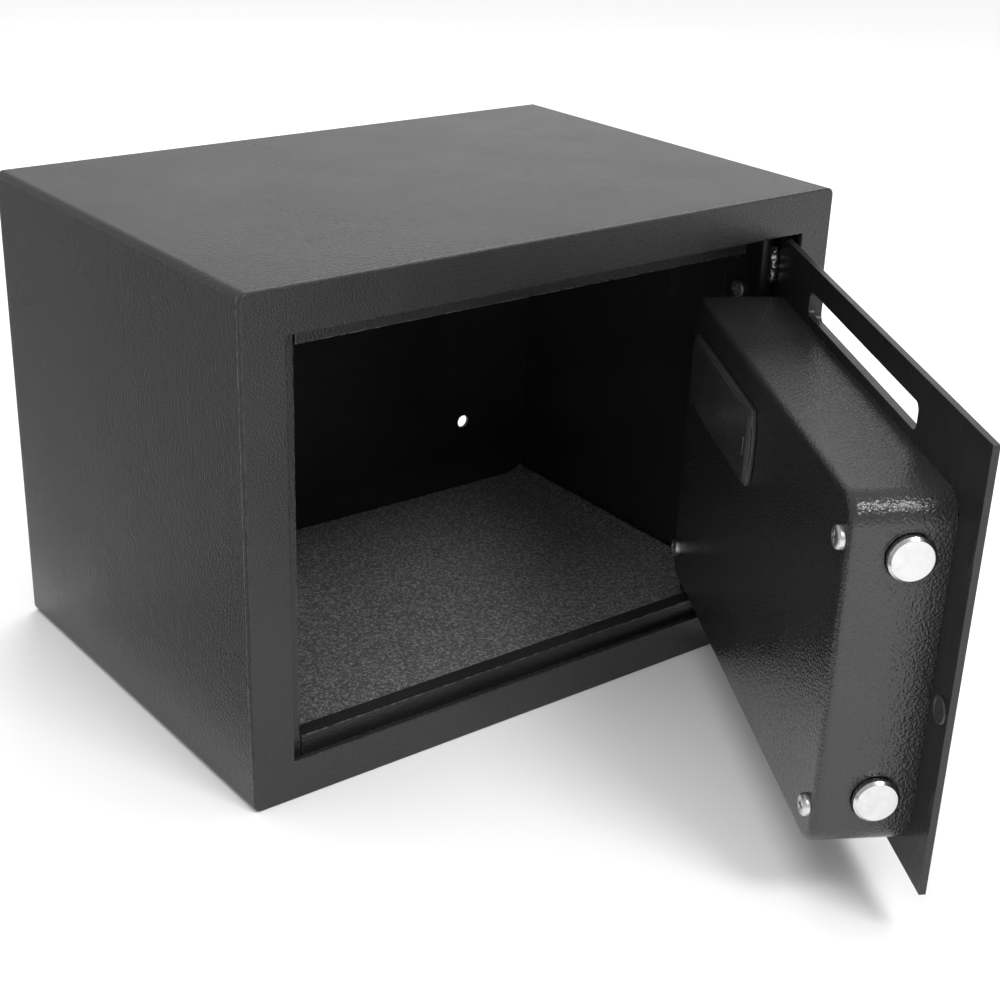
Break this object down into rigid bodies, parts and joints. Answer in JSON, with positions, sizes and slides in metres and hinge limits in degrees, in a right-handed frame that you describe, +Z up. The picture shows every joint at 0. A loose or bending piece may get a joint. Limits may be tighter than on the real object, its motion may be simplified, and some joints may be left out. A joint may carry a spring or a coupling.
{
  "type": "depository safe",
  "caption": "Small black steel drop-slot safe with its hinged door standing open: live bolts, deposit slot, electronic lock under a rear cover, and a felt floor mat.",
  "frame": {"origin": "middle of the body's base, on the surface it stands on", "axes": "+X to the hinge side, +Y to the back (the doorway faces -Y), +Z up"},
  "size_m": [0.35, 0.4834, 0.25],
  "materials": {
    "black_powder_coat": "fine orange-peel powder coat, satin",
    "door_paint": "smooth semi-gloss black",
    "weld_metal": "lumpy weld bead, bright",
    "grey_felt": "needled felt, flecked",
    "bright_zinc": "zinc plated",
    "polished_chrome": "polished",
    "plain_steel": "zinc-grey sheet steel",
    "black_plastic": "fine moulded texture",
    "knob_plastic": "satin black",
    "key_rubber": "matte",
    "lock_brass": "nickelled brass, satin",
    "board_laminate": "solder-masked laminate",
    "coil_wire": "enamelled wire",
    "cell_wrap": "printed sleeve, plain",
    "light_lens": "clear tinted",
    "lead_sleeve": "soft sleeve"
  },
  "bodies": {
    "cabinet": {"body_wrap": "black_powder_coat", "back_panel": "black_powder_coat", "front_frame": "black_powder_coat", "free_side_stop": "black_powder_coat", "top_stop": "black_powder_coat", "bottom_stop": "black_powder_coat", "bolt_keeper": "black_powder_coat", "floor_mat": "grey_felt", "upper_hinge_bracket": "black_powder_coat", "lower_hinge_bracket": "black_powder_coat", "hinge_bracket_screws": "bright_zinc"},
    "door": {"door_plate": "door_paint", "slot_surround": "black_plastic", "upper_hinge_rod": "door_paint", "lower_hinge_rod": "door_paint", "hinge_welds": "weld_metal", "lock_cover": "black_powder_coat", "cover_screws": "bright_zinc", "upper_bolt_guide": "plain_steel", "lower_bolt_guide": "plain_steel", "door_posts": "plain_steel", "battery_tray": "black_plastic", "batteries": "cell_wrap", "battery_contacts": "plain_steel", "solenoid_frame": "plain_steel", "solenoid_coil": "coil_wire", "circuit_board": "board_laminate", "board_parts": "black_plastic", "wire_leads": "lead_sleeve", "keypad_housing": "black_plastic", "keypad_membrane": "key_rubber", "keypad_board": "board_laminate", "keypad_lights": "light_lens", "lock_cylinder": "lock_brass", "escutcheon": "knob_plastic"},
    "bolt_work": {"upper_bolt": "polished_chrome", "lower_bolt": "polished_chrome", "bolt_carriage": "plain_steel", "carriage_screws": "bright_zinc"},
    "knob_work": {"knob": "knob_plastic", "knob_spindle": "plain_steel", "knob_cam": "plain_steel"},
    "solenoid_plunger": {"solenoid_plunger": "plain_steel"},
    "override_lock": {"lock_plug": "lock_brass", "lock_cam": "plain_steel"},
    "override_cap": {"override_cap": "black_plastic"},
    "battery_cover": {"battery_cover": "black_plastic"},
    "key_1": {"key_1": "key_rubber"},
    "key_2": {"key_2": "key_rubber"},
    "key_3": {"key_3": "key_rubber"},
    "key_4": {"key_4": "key_rubber"},
    "key_5": {"key_5": "key_rubber"},
    "key_6": {"key_6": "key_rubber"},
    "key_7": {"key_7": "key_rubber"},
    "key_8": {"key_8": "key_rubber"},
    "key_9": {"key_9": "key_rubber"},
    "key_clear": {"key_clear": "key_rubber"},
    "key_0": {"key_0": "key_rubber"},
    "key_enter": {"key_enter": "key_rubber"}
  },
  "joints": [
    {"name": "door_hinge", "type": "hinge", "parent": "cabinet", "child": "door", "pos_m": [0.1393, -0.09995, 0.1245], "axis": [0, 0, 1], "range_deg": [-59.5, 16]},
    {"name": "bolt_throw", "type": "slide", "parent": "door", "child": "bolt_work", "axis": [-0.5075, -0.8616, 0], "range_m": [0, 0.018]},
    {"name": "knob_turn", "type": "hinge", "parent": "door", "child": "knob_work", "pos_m": [0.11488, -0.17992, 0.11545], "axis": [0.8616, -0.5075, 0], "range_deg": [0, 90]},
    {"name": "plunger_pull", "type": "slide", "parent": "door", "child": "solenoid_plunger", "axis": [0, 0, -1], "range_m": [-0.0015, 0], "stiffness_N_per_m": 120, "springref_m": 0.004},
    {"name": "override_turn", "type": "hinge", "parent": "door", "child": "override_lock", "pos_m": [0.08037, -0.23851, 0.11145], "axis": [0.8616, -0.5075, 0], "range_deg": [0, 90]},
    {"name": "override_cap_swing", "type": "hinge", "parent": "door", "child": "override_cap", "pos_m": [0.09028, -0.24435, 0.12745], "axis": [0.8616, -0.5075, 0], "range_deg": [0, 100]},
    {"name": "battery_cover_tilt", "type": "hinge", "parent": "door", "child": "battery_cover", "pos_m": [0.10333, -0.10732, 0.1607], "axis": [0, 0, -1], "range_deg": [0, 60]},
    {"name": "key_1_press", "type": "slide", "parent": "door", "child": "key_1", "axis": [-0.8616, 0.5075, 0], "range_m": [0, 0.0015], "stiffness_N_per_m": 400, "springref_m": -0.0006},
    {"name": "key_2_press", "type": "slide", "parent": "door", "child": "key_2", "axis": [-0.8616, 0.5075, 0], "range_m": [0, 0.0015], "stiffness_N_per_m": 400, "springref_m": -0.0006},
    {"name": "key_3_press", "type": "slide", "parent": "door", "child": "key_3", "axis": [-0.8616, 0.5075, 0], "range_m": [0, 0.0015], "stiffness_N_per_m": 400, "springref_m": -0.0006},
    {"name": "key_4_press", "type": "slide", "parent": "door", "child": "key_4", "axis": [-0.8616, 0.5075, 0], "range_m": [0, 0.0015], "stiffness_N_per_m": 400, "springref_m": -0.0006},
    {"name": "key_5_press", "type": "slide", "parent": "door", "child": "key_5", "axis": [-0.8616, 0.5075, 0], "range_m": [0, 0.0015], "stiffness_N_per_m": 400, "springref_m": -0.0006},
    {"name": "key_6_press", "type": "slide", "parent": "door", "child": "key_6", "axis": [-0.8616, 0.5075, 0], "range_m": [0, 0.0015], "stiffness_N_per_m": 400, "springref_m": -0.0006},
    {"name": "key_7_press", "type": "slide", "parent": "door", "child": "key_7", "axis": [-0.8616, 0.5075, 0], "range_m": [0, 0.0015], "stiffness_N_per_m": 400, "springref_m": -0.0006},
    {"name": "key_8_press", "type": "slide", "parent": "door", "child": "key_8", "axis": [-0.8616, 0.5075, 0], "range_m": [0, 0.0015], "stiffness_N_per_m": 400, "springref_m": -0.0006},
    {"name": "key_9_press", "type": "slide", "parent": "door", "child": "key_9", "axis": [-0.8616, 0.5075, 0], "range_m": [0, 0.0015], "stiffness_N_per_m": 400, "springref_m": -0.0006},
    {"name": "key_clear_press", "type": "slide", "parent": "door", "child": "key_clear", "axis": [-0.8616, 0.5075, 0], "range_m": [0, 0.0015], "stiffness_N_per_m": 400, "springref_m": -0.0006},
    {"name": "key_0_press", "type": "slide", "parent": "door", "child": "key_0", "axis": [-0.8616, 0.5075, 0], "range_m": [0, 0.0015], "stiffness_N_per_m": 400, "springref_m": -0.0006},
    {"name": "key_enter_press", "type": "slide", "parent": "door", "child": "key_enter", "axis": [-0.8616, 0.5075, 0], "range_m": [0, 0.0015], "stiffness_N_per_m": 400, "springref_m": -0.0006}
  ],
  "couplings": [
    {"joint": "knob_turn", "follows": "bolt_throw", "rad_per_m": 87.26}
  ]
}
